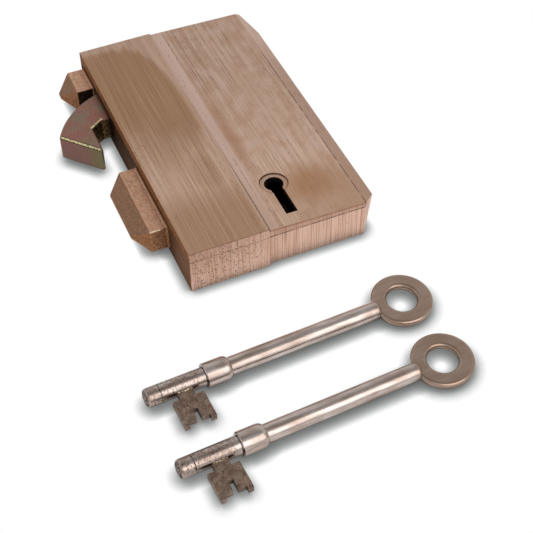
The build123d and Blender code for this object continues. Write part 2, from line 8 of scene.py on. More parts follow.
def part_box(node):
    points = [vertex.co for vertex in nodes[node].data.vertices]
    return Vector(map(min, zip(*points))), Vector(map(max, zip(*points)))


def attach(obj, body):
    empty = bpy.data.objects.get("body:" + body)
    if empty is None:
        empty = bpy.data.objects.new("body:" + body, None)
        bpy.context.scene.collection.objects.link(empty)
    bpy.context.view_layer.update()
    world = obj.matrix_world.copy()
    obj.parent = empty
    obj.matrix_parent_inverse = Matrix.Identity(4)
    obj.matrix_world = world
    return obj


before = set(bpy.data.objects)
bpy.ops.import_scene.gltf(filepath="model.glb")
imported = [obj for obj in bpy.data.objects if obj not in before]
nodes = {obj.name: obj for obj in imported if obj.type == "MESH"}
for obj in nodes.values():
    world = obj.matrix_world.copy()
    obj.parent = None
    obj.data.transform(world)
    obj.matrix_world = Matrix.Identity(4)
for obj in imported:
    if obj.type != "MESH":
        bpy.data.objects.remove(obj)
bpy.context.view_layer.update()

MM = 0.001


def shown(name, data):
    """A new object of that data in the scene, at the origin."""
    made = bpy.data.objects.new(name, data)
    bpy.context.scene.collection.objects.link(made)
    return made


# Camera, fitted to the case's edges and the keyhole in the photograph
CAMERA_LENS = 89.16
CAMERA_PLACE = (-0.12694, -0.31270, 0.32926)
azimuth, elevation, roll = math.radians(-21.50), math.radians(46.48), math.radians(-2.03)

camera_data = bpy.data.cameras.new("camera")
camera_data.sensor_width = 36
camera_data.lens = CAMERA_LENS
camera_data.clip_start, camera_data.clip_end = 0.02, 10
camera = shown("camera", camera_data)
bpy.context.scene.camera = camera
back = Vector((
    math.sin(azimuth) * math.cos(elevation),
    -math.cos(azimuth) * math.cos(elevation),
    math.sin(elevation),
))
level = Vector((math.cos(azimuth), math.sin(azimuth), 0))
right = math.cos(roll) * level + math.sin(roll) * back.cross(level)
up = back.cross(right)
turn = Matrix((right, up, back)).transposed().to_4x4()
camera.matrix_world = Matrix.Translation(CAMERA_PLACE) @ turn


# Places on the lock in millimetres. The origin is on the keyhole's axis, under the case
(BOLT_FACE, NEAR_END, SEAM), (COVER_BACK, FAR_END, _) = (
    [length / MM for length in corner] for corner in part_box("cover_plate")
)
HOOK_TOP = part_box("hook_bolt")[1][2] / MM
STEP = BOLT_FACE + 29.0             # from the raised half to the plain one
RIM = COVER_BACK + 0.2              # the case's rim, behind the cover
CAVITY_LEFT, CAVITY_RIGHT = BOLT_FACE + 2.75, COVER_BACK - 3.25
CAVITY_NEAR, CAVITY_FAR = NEAR_END + 3.15, FAR_END - 3.85
CAVITY_FLOOR = 1.95
KEYHOLE_RADIUS, SLOT_HALF, SLOT_REACH = 3.45, 2.175, 16.1
SEAT_RADIUS, SEAT_FLOOR = 5.1, 15.65
NECK = -48.2                        # where the hook's neck ends and its beak begins
BEAK_EDGE = (-59.6, 58.95), (-48.7, 46.6)
NECK_EDGE = (-48.2, 59.4), (-43.0, 63.0)
LUG_EDGE = (-46.9, -1.5), (-42.5, -1.5)


# Materials
SMOOTH = {"interpolation_type": "SMOOTHSTEP"}
COLOURS = {"data_type": "RGBA"}
MOST = {"operation": "MAXIMUM"}
SUM = {"operation": "ADD"}


def tone(code):
    """Linear colour of an sRGB hex value."""
    parts = [int(code[i:i + 2], 16) / 255 for i in (0, 2, 4)]
    return [v / 12.92 if v <= 0.04045 else ((v + 0.055) / 1.055) ** 2.4 for v in parts] + [1]


def add(owner, kind, *values, stops=(), **settings):
    """A node with its settings, then values, hex colours or links for its open sockets.

    stops are the (position, hex colour) stops of a ramp. Returns the first open output.
    """
    made = owner.node_tree.nodes.new("ShaderNode" + kind)
    for name, value in settings.items():
        setattr(made, name, value)
    for socket, value in zip([s for s in made.inputs if s.enabled], values):
        if isinstance(value, bpy.types.NodeSocket):
            owner.node_tree.links.new(value, socket)
        elif value is not None:
            socket.default_value = tone(value) if isinstance(value, str) else value
    if stops:
        elements = made.color_ramp.elements
        while len(elements) < len(stops):
            elements.new(0.5)
        for element, (position, code) in zip(elements, stops):
            element.position = position
            element.color = tone(code)
    return next((s for s in made.outputs if s.enabled), None)


def blank(owner):
    """That material or world, with an empty node tree."""
    owner.use_nodes = True
    owner.node_tree.nodes.clear()
    return owner


def metal(name):
    """A new material, its Object coordinates in millimetres and its normal there."""
    material = blank(bpy.data.materials.new(name))
    place = add(material, "TexCoord").node.outputs
    spot = add(material, "VectorMath", place["Object"], 1 / MM, operation="SCALE")
    return material, spot, place["Normal"]


def surface(material, colour, metallic, rough, height, relief_mm, strength):
    """Ends a material in its shader, with a relief of that depth."""
    bump = add(material, "Bump", strength, relief_mm * MM, None, height)
    shaded = add(material, "BsdfPrincipled", colour, metallic, rough, None, None, bump)
    add(material, "OutputMaterial", shaded)
    return shaded.node


def overlap(material, mask, *others):
    """What is left of a mask inside all the others, which may be plain shares of it."""
    for other in others:
        mask = add(material, "Math", mask, other, operation="MULTIPLY")
    return mask


def paint(material, colour, *coats):
    """Lays coats over a colour in order, each a colour and then the masks that it shows in."""
    for coat, *masks in coats:
        colour = add(material, "Mix", overlap(material, *masks), colour, coat, **COLOURS)
    return colour


def band(material, value, low, high, soft):
    """1 where a value lies from low to high, fading out over soft on each side."""
    rise = add(material, "MapRange", value, low - soft, low, **SMOOTH)
    return overlap(material, rise, add(material, "MapRange", value, high + soft, high, **SMOOTH))


def grain(material, spot, size_mm, detail=3.0, rough=0.55):
    """Noise whose cells are size_mm along x, y and z."""
    cells = add(material, "VectorMath", spot, [1 / s for s in size_mm], operation="MULTIPLY")
    return add(material, "TexNoise", cells, 1.0, detail, rough)


def flecks(material, spot, cell_mm, size_mm, share):
    """1 in round flecks of size_mm across, in that share of cells cell_mm apart, else 0."""
    cells = add(material, "VectorMath", spot, 1 / cell_mm, operation="SCALE")
    found = add(material, "TexVoronoi", cells, 1.0).node.outputs
    chance = add(material, "SeparateXYZ", found["Color"])
    half = size_mm / cell_mm / 2
    return overlap(
        material,
        add(material, "MapRange", found["Distance"], half * 1.3, half * 0.7, **SMOOTH),
        add(material, "MapRange", chance, 1 - share, 1.02 - share, **SMOOTH),
    )


def blotch(material, spot, centre, reach, ragged):
    """1 inside an ellipsoid of that centre and reach in millimetres, its soft edge ragged."""
    away = add(material, "VectorMath", spot, centre, operation="SUBTRACT")
    away = add(material, "VectorMath", away, [1 / r for r in reach], operation="MULTIPLY")
    away = add(material, "VectorMath", away, operation="LENGTH")
    away = add(material, "Math", away, ragged, **SUM)
    return add(material, "MapRange", away, 2.1, 0.8, **SMOOTH)


def beside_line(material, spot, line, inside, outside, soft):
    """1 beside a line on the plan, from inside mm left of its run to outside mm right."""
    start, end = line
    run = Vector((end[0] - start[0], end[1] - start[1], 0))
    rightward = (run.y / run.length, -run.x / run.length, 0)
    away = add(material, "VectorMath", spot, (*start, 0), operation="SUBTRACT")
    along = add(material, "VectorMath", away, run.normalized(), operation="DOT_PRODUCT")
    across = add(material, "VectorMath", away, rightward, operation="DOT_PRODUCT")
    return overlap(
        material,
        band(material, across, -inside, outside, soft),
        band(material, along, 0, run.length, soft),
    )


def worn_edge(material, width_mm, low=0.03, high=0.25):
    """1 on outer edges within width_mm, where handling has rubbed them, else 0."""
    rounded = add(material, "Bevel", width_mm * MM, samples=6)
    true = add(material, "NewGeometry").node.outputs["Normal"]
    agree = add(material, "VectorMath", rounded, true, operation="DOT_PRODUCT")
    return add(material, "MapRange", agree, 1 - low, 1 - high, **SMOOTH)


def corner_shade(material, reach_mm):
    """1 in inner corners within reach_mm, for painted shade, else 0."""
    open_sky = add(
        material, "AmbientOcclusion", None, reach_mm * MM, only_local=True, samples=8,
    )
    return add(material, "MapRange", open_sky, 0.82, 0.5, **SMOOTH)


# Gunmetal bronze, sand cast and linished along the case: tan-pink with fine lines along the belt's
# run, a browner half, a few casting pits, and as-cast skin on the bolt face with painted shade
bronze, spot, normal = metal("linished_bronze")
x, y, z = add(bronze, "SeparateXYZ", spot).node.outputs
side_x, side_y, side_z = add(bronze, "SeparateXYZ", normal).node.outputs
upward = add(bronze, "MapRange", side_z, 0.5, 0.9, **SMOOTH)
endward = add(bronze, "Math", side_y, operation="ABSOLUTE")
end_face = add(bronze, "MapRange", endward, 0.5, 0.8, **SMOOTH)
bolt_side = add(bronze, "MapRange", side_x, -0.35, -0.75, **SMOOTH)

# belt lines are some 0.1 mm wide on the real part, drawn at 0.26 to 0.4 mm so that they show
hair = grain(bronze, spot, (0.26, 50, 50), 1.0)
fine = grain(bronze, spot, (0.40, 40, 40), 1.0)
broad = grain(bronze, spot, (2.4, 120, 60), 2.0)
cloud = grain(bronze, spot, (18, 30, 30), 2.0)
# they fade where hands have smoothed them, most on the cover's near right part
near_right = add(bronze, "Math", x, y, operation="SUBTRACT")
smoothed = add(
    bronze, "Math",
    add(bronze, "MapRange", near_right, -60, 20, 0, 0.15, **SMOOTH),
    add(bronze, "MapRange", cloud, 0.4, 0.6, 0.0, 0.5, **SMOOTH),
    **SUM,
)
lines = add(bronze, "Mix", smoothed, add(bronze, "Mix", 0.5, fine, hair), 0.5)
clean_far = add(
    bronze, "ValToRGB", lines,
    stops=((0.37, "A88671"), (0.47, "BD9C86"), (0.53, "C7A791"), (0.63, "D2B8A5")),
)
clean_near = add(
    bronze, "ValToRGB", lines,
    stops=((0.37, "C29F87"), (0.47, "D3B19B"), (0.53, "DBBBA5"), (0.63, "E5CBB8")),
)
brownish = add(
    bronze, "ValToRGB", lines,
    stops=((0.39, "997358"), (0.47, "A67F62"), (0.53, "AD8769"), (0.61, "B99476")),
)

# the browner skin covers the raised half, but for its far corner and edge, which the belt
# has cleaned
far_corner = [
    add(bronze, "Math", add(bronze, "MapRange", place, start, end), 4.0, operation="POWER")
    for place, start, end in ((x, BOLT_FACE, STEP - 1.2), (y, 20, 95))
]
reached = add(bronze, "Math", *far_corner, **SUM)
wavering = add(bronze, "MapRange", broad, 0.3, 0.7, -0.12, 0.12)
reached = add(bronze, "Math", reached, wavering, **SUM)
frayed = add(bronze, "Math", fine, -9.0, y, operation="MULTIPLY_ADD")
patch = overlap(
    bronze,
    add(bronze, "MapRange", reached, 1.12, 0.86, **SMOOTH),
    add(bronze, "MapRange", x, STEP + 0.1, STEP - 0.1),
    add(bronze, "MapRange", frayed, 92.6, 88.4, **SMOOTH),
)
wandering = add(bronze, "Math", cloud, 50.0, y, operation="MULTIPLY_ADD")
mid_part = add(bronze, "MapRange", wandering, 38, 74, 0.2, 1, **SMOOTH)
near_part = add(bronze, "MapRange", y, 14, -6, 0.1, 0.72, **SMOOTH)
low_blotch = overlap(bronze, blotch(bronze, spot, (-20, 14, 17.4), (6, 12, 30), cloud), 0.6)
browned = add(bronze, "Math", mid_part, add(bronze, "Math", near_part, low_blotch, **MOST), **MOST)
brown = overlap(bronze, patch, browned)

# soft clouds on the cover's plain half, a brown handling stain right of the keyhole, and a
# streak that runs up to the keyhole from the far end
clouds = grain(bronze, spot, (5, 8, 8), 3.0)
plain_half = add(bronze, "MapRange", x, STEP + 3, STEP + 5)
stain = blotch(bronze, spot, (11.5, -5.0, 15.8), (8.5, 8.5, 30), cloud)
streak = blotch(bronze, spot, (-4.6, 29.0, 16.0), (2.3, 23.0, 30), broad)
rim_tint = paint(bronze, "D3B4A3", ("B08C76", add(bronze, "MapRange", y, 90, 45)))
clean = paint(bronze, clean_far, (clean_near, add(bronze, "MapRange", y, 75, -10, **SMOOTH)))
top = paint(
    bronze, clean,
    (brownish, brown),
    # darker and paler drifts along the belt's run, faint on the browner skin
    (
        "A38169",
        add(bronze, "MapRange", broad, 0.54, 0.68, 0, 0.09, **SMOOTH),
        add(bronze, "MapRange", brown, 0, 1, 1, 0.4),
    ),
    (
        "DCC2AE",
        add(bronze, "MapRange", broad, 0.46, 0.34, 0, 0.09, **SMOOTH),
        add(bronze, "MapRange", x, STEP - 0.5, STEP + 0.5),
    ),
    # browner and pinker clouds
    ("B68D72", add(bronze, "MapRange", clouds, 0.5, 0.64, 0, 0.35, **SMOOTH), plain_half),
    ("D8BBAE", add(bronze, "MapRange", clouds, 0.5, 0.36, 0, 0.35, **SMOOTH), plain_half),
    # the palest band, along the step, which browns towards the near end
    (
        "D9BCAE",
        band(bronze, x, STEP + 0.5, STEP + 4.2, 0.6),
        add(bronze, "MapRange", y, -6, 40, 0.45, 0.75, **SMOOTH),
    ),
    # the cover browns a little towards the near end too
    (
        "B48A6A",
        add(bronze, "MapRange", y, 12, -8, 0, 0.6, **SMOOTH),
        add(bronze, "MapRange", x, -6, 22, 0.35, 1),
    ),
    (rim_tint, add(bronze, "MapRange", x, RIM, RIM + 0.2), 0.8),
    ("B2835E", stain, 0.75),
    ("B3856A", streak, 0.65),
)

# ends: milled upright, pinker, browner towards the bolt face and on the cover
upright_marks = grain(bronze, spot, (0.30, 12, 34), 2.0)
upright_wide = grain(bronze, spot, (2.4, 12, 30), 2.0)
milled = add(bronze, "Mix", 0.12, upright_marks, upright_wide)
end_pink = add(
    bronze, "ValToRGB", milled,
    stops=((0.36, "B58E79"), (0.47, "D4AC97"), (0.54, "E0B9A6"), (0.64, "ECCDBD")),
)
bolt_end = overlap(
    bronze,
    add(bronze, "MapRange", x, 2, -36, 0, 0.55, **SMOOTH),
    add(bronze, "MapRange", z, 2, 13),
)
cover_end = overlap(
    bronze,
    band(bronze, z, SEAM + 0.1, 20, 0.2),
    add(bronze, "MapRange", x, STEP, STEP + 2, 0, 0.5),
)
end = paint(
    bronze, end_pink,
    ("A67D68", add(bronze, "Math", bolt_end, cover_end, **MOST)),
    ("8A6551", add(bronze, "MapRange", upright_marks, 0.6, 0.68, **SMOOTH), 0.28),
)

# bolt face: as-cast skin, orange-brown on the cover; below the cover it is painted shade,
# near-black brown low down between the lugs, darkest by the hook and the far lug, lighter towards
# the near end
skin = grain(bronze, spot, (1.3, 1.3, 1.3), 4.0, 0.62)
cover_side = add(
    bronze, "ValToRGB", skin, stops=((0.35, "70462A"), (0.5, "855433"), (0.65, "9A6947")),
)
shaded_case_side = add(
    bronze, "ValToRGB", skin, stops=((0.35, "361E0D"), (0.5, "4B2C16"), (0.65, "664025")),
)
face = paint(
    bronze, shaded_case_side,
    ("80593F", add(bronze, "MapRange", y, 6, -18, 0, 0.75, **SMOOTH)),
    # painted shade by the hook and the far lug
    ("1E130C", band(bronze, y, 58, 82, 3), 0.75),
    (cover_side, add(bronze, "MapRange", z, SEAM - 0.1, SEAM + 0.1)),
)

# lugs: painted light by facing, a paler top over browner sides and hips, and a dark near side on
# the far one
lug_speck = grain(bronze, spot, (0.9, 0.9, 0.9), 3.0)
lug_side, lug_hip, lug_top = (
    add(bronze, "ValToRGB", lug_speck, stops=tuple(zip((0.32, 0.5, 0.68), codes)))
    for codes in (
        ("8B5F41", "9C6D4C", "AB7C5A"),
        ("86634C", "936F57", "A07C65"),
        ("B88D73", "CB9D80", "DBB095"),
    )
)
lug = paint(
    bronze, lug_side,
    (lug_hip, add(bronze, "MapRange", side_z, 0.55, 0.75, **SMOOTH)),
    (lug_top, add(bronze, "MapRange", side_z, 0.83, 0.95, **SMOOTH)),
    (
        "2A1A10",
        add(bronze, "MapRange", side_y, -0.8, -0.95, **SMOOTH),
        add(bronze, "MapRange", y, 60, 75),
    ),
)
on_lug = add(bronze, "MapRange", x, BOLT_FACE - 0.1, BOLT_FACE - 0.4)

# casting pits of some 0.3 mm, drawn at 0.4 to 0.5 mm so that they show, in a few drifts, and
# dotted dark lines where the belt has bared them
pit_field = grain(bronze, spot, (14, 30, 14), 2.0)
top_pits = overlap(
    bronze,
    flecks(bronze, spot, 1.7, 0.42, 0.3),
    add(bronze, "MapRange", pit_field, 0.53, 0.62, **SMOOTH),
)
end_pits = overlap(
    bronze,
    flecks(bronze, spot, 0.72, 0.48, 0.55),
    end_face,
    add(bronze, "MapRange", x, -6, -22, 0.12, 1),
)
step_pits = overlap(
    bronze,
    flecks(bronze, spot, 1.2, 0.4, 0.5),
    band(bronze, x, STEP - 1.4, STEP + 0.1, 0.4),
    upward,
)
pits = add(bronze, "Math", top_pits, add(bronze, "Math", end_pits, step_pits, **MOST), **MOST)
rows = grain(bronze, spot, (0.6, 120, 120), 1.0)
dots = grain(bronze, spot, (0.4, 2.2, 4), 2.0)
dotted = overlap(
    bronze,
    add(bronze, "MapRange", rows, 0.57, 0.62, **SMOOTH),
    add(bronze, "MapRange", dots, 0.48, 0.6, **SMOOTH),
    upward,
    add(bronze, "MapRange", brown, 0.9, 0.4, 0.15, 0.55),
    add(bronze, "MapRange", smoothed, 0, 0.6, 1, 0.3),
)

# rubbed edges, mostly on the lugs and the far end, a painted highlight along the near lug's top
# edge, and dull ones along the near end
handled = add(bronze, "MapRange", y, 60, 96, 0.05, 0.5)
rubbed = overlap(
    bronze,
    worn_edge(bronze, 0.4),
    add(bronze, "Math", on_lug, handled, **MOST),
    add(bronze, "MapRange", skin, 0.35, 0.55, 0.3, 0.9),
)
# a painted highlight: a bright line along the near lug's top front edge
lug_highlight = overlap(
    bronze,
    beside_line(bronze, spot, LUG_EDGE, 0.25, 0.2, 0.1),
    add(bronze, "MapRange", z, 11.5, 11.7),
    add(bronze, "MapRange", skin, 0.4, 0.55, 0.2, 0.9),
)
dull_edge = overlap(
    bronze,
    band(bronze, side_z, 0.2, 0.93, 0.06),
    add(bronze, "MapRange", y, NEAR_END + 1, NEAR_END + 0.4),
)

# dark seams under the cover and along the rim, and painted shade in the step's corner
breaks = grain(bronze, spot, (2.2, 5, 5), 3.0)
seam_breaks = add(bronze, "MapRange", breaks, 0.36, 0.5, 0.15, 0.95, **SMOOTH)
on_plain = add(bronze, "MapRange", x, STEP - 0.3, STEP + 0.3)
seam_shows = overlap(
    bronze,
    add(bronze, "Math", on_plain, bolt_side, **MOST),
    add(bronze, "MapRange", side_z, 0.25, 0.1),
    add(bronze, "MapRange", x, RIM + 0.1, COVER_BACK),
)
seam = overlap(
    bronze, band(bronze, z, SEAM - 0.06, SEAM + 0.22, 0.07), seam_breaks, seam_shows,
)
rim_seam = overlap(
    bronze,
    band(bronze, x, COVER_BACK - 0.14, RIM + 0.12, 0.06),
    add(bronze, "MapRange", z, SEAM + 0.5, SEAM + 0.8),
    add(bronze, "MapRange", y, 80, 64, 0.1, 0.85),
    seam_breaks,
)
step_corner_shade = overlap(
    bronze,
    band(bronze, x, STEP, STEP + 0.82, 0.08),
    upward,
    add(bronze, "MapRange", y, 34, -4, 0.08, 0.5, **SMOOTH),
)
seams_and_step_shade = add(bronze, "Math", add(bronze, "Math", seam, rim_seam, **MOST), step_corner_shade, **MOST)

# painted shade on the inside, near-black as far as the keyhole shows it, and on the keyhole's
# walls
cavity = overlap(
    bronze,
    band(bronze, x, CAVITY_LEFT, CAVITY_RIGHT, 0.03),
    band(bronze, y, CAVITY_NEAR, CAVITY_FAR, 0.03),
    band(bronze, z, CAVITY_FLOOR, SEAM + 0.02, 0.02),
)
slot_wall = overlap(
    bronze,
    band(bronze, x, -SLOT_HALF - 0.125, SLOT_HALF + 0.125, 0.06),
    band(bronze, y, -SLOT_REACH - 0.15, 0.5, 0.05),
)
from_axis = add(bronze, "VectorMath", add(bronze, "CombineXYZ", x, y), operation="LENGTH")
bore_wall = add(bronze, "MapRange", from_axis, KEYHOLE_RADIUS + 0.17, KEYHOLE_RADIUS + 0.07)
hole_wall = overlap(
    bronze,
    add(bronze, "Math", slot_wall, bore_wall, **MOST),
    add(bronze, "MapRange", z, SEAT_FLOOR - 0.05, SEAT_FLOOR - 0.35),
)
keyhole_shade = add(bronze, "Math", cavity, hole_wall, **MOST)

# the seat's floor is rubbed bright, with a dark ring in its corner
seat = overlap(
    bronze,
    add(bronze, "MapRange", from_axis, SEAT_RADIUS + 0.04, SEAT_RADIUS - 0.02),
    add(bronze, "MapRange", z, SEAT_FLOOR + 0.35, SEAT_FLOOR + 0.15),
    upward,
)
seat_ring = overlap(
    bronze,
    band(bronze, from_axis, SEAT_RADIUS - 0.24, SEAT_RADIUS + 0.1, 0.06),
    add(bronze, "MapRange", z, SEAT_FLOOR + 0.65, SEAT_FLOOR + 0.55),
)

tint = paint(
    bronze, top,
    (end, end_face),
    (face, bolt_side),
    (lug, on_lug),
    ("6A4E3D", dotted),
    ("4E372A", pits, 0.75),
    ("D9BAA2", rubbed),
    # painted highlight on the near lug's edge
    ("F2E0C2", lug_highlight),
    ("8F6C57", dull_edge, 0.7),
    # dark seams, and painted shade in the step's corner
    ("3A291F", seams_and_step_shade),
    # painted shade inside the keyhole
    ("17120E", keyhole_shade),
    ("B08D78", seat, 0.4),
    ("513A2C", seat_ring, 0.8),
)
dulled = add(
    bronze, "Math", overlap(bronze, bolt_side, 0.25), overlap(bronze, dull_edge, 0.25), **MOST,
)
rough = add(bronze, "Math", add(bronze, "MapRange", lines, 0.36, 0.64, 0.42, 0.54), dulled, **SUM)
rough = add(bronze, "Math", rough, overlap(bronze, keyhole_shade, 0.7), **MOST)
# less mirror-like on the as-cast skin and on the side of the rim
metallic = overlap(
    bronze,
    add(bronze, "MapRange", bolt_side, 0, 1, 0.85, 0.3),
    add(bronze, "MapRange", side_x, 0.2, 0.5, 1, 0.45, **SMOOTH),
)
relief = add(
    bronze, "Math", overlap(bronze, lines, 0.4), overlap(bronze, upright_marks, 0.25), **SUM,
)
relief = add(bronze, "Math", relief, pits, operation="SUBTRACT")
relief = add(bronze, "Math", relief, overlap(bronze, skin, bolt_side, 1.2), **SUM)
shader = surface(bronze, tint, metallic, rough, relief, 0.12, 0.5)
mirrored = add(bronze, "MapRange", bolt_side, 0, 1, 0.5, 0.08)
bronze.node_tree.links.new(mirrored, shader.inputs["Specular IOR Level"])
for name in ("lower_case", "cover_plate"):
    nodes[name].material_slots[0].material = bronze


# Zinc-plated steel, yellow passivated: mauve to olive, dull on its edges, with two painted
# highlights along its top edges and painted shade on its neck and where it enters the case
passivated, spot, normal = metal("yellow_passivated_zinc")
x, y, z = add(passivated, "SeparateXYZ", spot).node.outputs
side_x, side_y, side_z = add(passivated, "SeparateXYZ", normal).node.outputs
mottle = grain(passivated, spot, (6, 6, 6), 3.0, 0.6)
speck = grain(passivated, spot, (0.7, 0.7, 0.7), 3.0, 0.65)
freckle = grain(passivated, spot, (1.6, 1.6, 1.6), 3.0, 0.6)
mauve = add(
    passivated, "ValToRGB", mottle,
    stops=((0.36, "9A695F"), (0.47, "956C60"), (0.56, "8E7464"), (0.66, "857961")),
)
# the beak's end is pinker, and olive towards the claw
end_tint = paint(
    passivated, "704C46", ("625D39", add(passivated, "MapRange", x, -53.5, -50.0)),
)
# the neck's sides are painted shade, dark brown with orange freckles
neck_shade = paint(
    passivated, "4C3927",
    ("8A6742", add(passivated, "MapRange", freckle, 0.42, 0.6, **SMOOTH)),
)
on_top = add(passivated, "MapRange", z, HOOK_TOP - 0.75, HOOK_TOP - 0.5)
beak_highlight = overlap(
    passivated, beside_line(passivated, spot, BEAK_EDGE, 0.1, 0.42, 0.1), on_top,
)
neck_highlight = overlap(
    passivated, beside_line(passivated, spot, NECK_EDGE, 0.1, 0.36, 0.1), on_top,
)
colour = paint(
    passivated, mauve,
    ("9E6E48", add(passivated, "MapRange", freckle, 0.54, 0.66, 0, 0.6, **SMOOTH)),
    ("5C4A3E", add(passivated, "MapRange", speck, 0.5, 0.72, 0, 0.6, **SMOOTH)),
    (
        end_tint,
        add(passivated, "MapRange", side_y, -0.35, -0.6, **SMOOTH),
        add(passivated, "MapRange", x, NECK + 0.2, NECK - 0.4),
        0.8,
    ),
    (
        neck_shade,
        add(passivated, "MapRange", x, NECK - 0.2, NECK + 0.4),
        add(passivated, "MapRange", side_z, 0.6, 0.3),
    ),
    # painted shade where it goes into the case
    (
        "241811",
        add(passivated, "MapRange", x, BOLT_FACE - 1.3, BOLT_FACE + 0.2, 0, 0.75, **SMOOTH),
    ),
    # dull edges, and painted shade along the beak's top edge, around its painted highlight
    (
        "4C3D2E",
        worn_edge(passivated, 0.5, 0.02, 0.16),
        add(passivated, "MapRange", y, 66, 58, 0.15, 0.5),
    ),
    (
        "3E3024",
        beside_line(passivated, spot, BEAK_EDGE, 0.7, 0.8, 0.15),
        on_top,
        add(passivated, "MapRange", freckle, 0.36, 0.56, 0.2, 0.75, **SMOOTH),
    ),
    # painted highlights: bright lines along the top edges of the beak's end and of the neck
    (
        "F4F2B4",
        add(passivated, "Math", beak_highlight, neck_highlight, **MOST),
        add(passivated, "MapRange", speck, 0.4, 0.54, 0.15, 1.0, **SMOOTH),
    ),
)
rough = add(passivated, "MapRange", speck, 0.3, 0.7, 0.38, 0.52, **SMOOTH)
surface(passivated, colour, 0.8, rough, speck, 0.1, 0.35)
nodes["hook_bolt"].material_slots[0].material = passivated


# Nickel plate on turned steel: warm grey, bright, scuffed along the shank, browned at the
# tip and dulled on the bow
nickel, spot, normal = metal("nickel_plate")
x = add(nickel, "SeparateXYZ", spot)
side_x = add(nickel, "SeparateXYZ", normal)
haze = grain(nickel, spot, (9, 2.5, 2.5), 3.0)
draw = grain(nickel, spot, (30, 0.6, 0.6), 2.0)
scuff = grain(nickel, spot, (0.5, 1.2, 1.2), 3.0, 0.7)
plate = add(nickel, "ValToRGB", haze, stops=((0.34, "A69389"), (0.5, "BAABA3"), (0.66, "CEC1BC")))
at_tip = add(nickel, "MapRange", x, -49.5, -53.0, **SMOOTH)
brown_haze = overlap(
    nickel, at_tip, add(nickel, "MapRange", scuff, 0.42, 0.62, 0.1, 0.6, **SMOOTH),
)
tip_end = overlap(nickel, at_tip, add(nickel, "MapRange", side_x, -0.5, -0.85, **SMOOTH))
colour = paint(
    nickel, plate,
    ("8A7467", add(nickel, "MapRange", draw, 0.52, 0.66, 0, 0.35, **SMOOTH)),
    ("6E594C", brown_haze),
    ("957A66", add(nickel, "MapRange", x, 9.5, 13, 0, 0.75, **SMOOTH)),
    ("3F271A", tip_end, add(nickel, "MapRange", scuff, 0.4, 0.6, 0.5, 0.95)),
    ("523829", at_tip, flecks(nickel, spot, 0.8, 0.4, 0.4)),
    # painted shade in the inner corners
    ("33271F", corner_shade(nickel, 0.8), 0.8),
)
rough = add(nickel, "MapRange", scuff, 0.3, 0.75, 0.13, 0.24, **SMOOTH)
rough = add(nickel, "Math", rough, overlap(nickel, brown_haze, 0.14), **SUM)
rough = add(nickel, "Math", rough, overlap(nickel, tip_end, 0.3), **SUM)
surface(nickel, colour, 1.0, rough, add(nickel, "Math", scuff, draw, **SUM), 0.04, 0.3)

# Blanked steel under worn plate: dull grey-brown with rust specks and rubbed edges
blanked, spot, normal = metal("blanked_steel")
side_z = add(blanked, "SeparateXYZ", normal).node.outputs["Z"]
skin = grain(blanked, spot, (2.5, 2.5, 2.5), 4.0, 0.6)
rust = grain(blanked, spot, (0.6, 0.6, 0.6), 3.0, 0.7)
plate = add(blanked, "ValToRGB", skin, stops=((0.38, "715F52"), (0.5, "837063"), (0.62, "968374")))
colour = paint(
    blanked, plate,
    ("6B4126", add(blanked, "MapRange", rust, 0.54, 0.62, 0, 0.75, **SMOOTH)),
    ("8C5A38", flecks(blanked, spot, 0.85, 0.36, 0.4)),
    ("3F2A1D", flecks(blanked, spot, 1.0, 0.44, 0.5)),
    (
        "B9ACB2",
        worn_edge(blanked, 0.35),
        add(blanked, "MapRange", rust, 0.4, 0.55, **SMOOTH),
        add(blanked, "MapRange", side_z, 0.95, 0.6, 0.3, 0.9, **SMOOTH),
    ),
    # painted shade in the inner corners
    ("3A291E", corner_shade(blanked, 1.0), 0.7),
)
rough = add(blanked, "MapRange", rust, 0.3, 0.75, 0.38, 0.6, **SMOOTH)
surface(blanked, colour, 0.85, rough, rust, 0.08, 0.5)

for key in ("key_1", "key_2"):
    nodes[key + "_shank"].material_slots[0].material = nickel
    nodes[key + "_bow"].material_slots[0].material = nickel
    nodes[key + "_bit"].material_slots[0].material = blanked


# Stamped brass strip for the levers and slide: yellow, with rolling lines along it
stamped, spot, _ = metal("stamped_brass")
rolling = grain(stamped, spot, (14, 0.5, 3), 3.0)
tarnish = grain(stamped, spot, (6, 6, 6), 3.0)
colour = paint(
    stamped,
    add(stamped, "ValToRGB", rolling, stops=((0.3, "A98447"), (0.6, "C09C58"), (0.8, "CDAE6E"))),
    ("8A6A3C", add(stamped, "MapRange", tarnish, 0.5, 0.7, 0, 0.5, **SMOOTH)),
)
rough = add(stamped, "MapRange", rolling, 0.3, 0.7, 0.28, 0.42, **SMOOTH)
surface(stamped, colour, 1.0, rough, rolling, 0.02, 0.3)

# Turned bright steel for the screws, pins and posts: grey, with rings from the lathe
turned, spot, _ = metal("turned_steel")
lathe = grain(turned, spot, (5, 5, 0.3), 2.0)
oil = grain(turned, spot, (3, 3, 3), 3.0)
colour = paint(
    turned,
    add(turned, "ValToRGB", lathe, stops=((0.3, "86837E"), (0.7, "A9A6A1"))),
    ("6A625A", add(turned, "MapRange", oil, 0.5, 0.7, 0, 0.4, **SMOOTH)),
)
rough = add(turned, "MapRange", lathe, 0.3, 0.7, 0.26, 0.4, **SMOOTH)
surface(turned, colour, 1.0, rough, lathe, 0.02, 0.3)

# Blued spring strip: dark grey-blue, smooth
blued, spot, _ = metal("blued_spring_steel")
temper = grain(blued, spot, (4, 4, 4), 2.0)
colour = add(blued, "ValToRGB", temper, stops=((0.3, "3A4656"), (0.6, "55606E"), (0.8, "6C6A70")))
rough = add(blued, "MapRange", temper, 0.3, 0.7, 0.24, 0.34, **SMOOTH)
surface(blued, colour, 1.0, rough, temper, 0.01, 0.2)

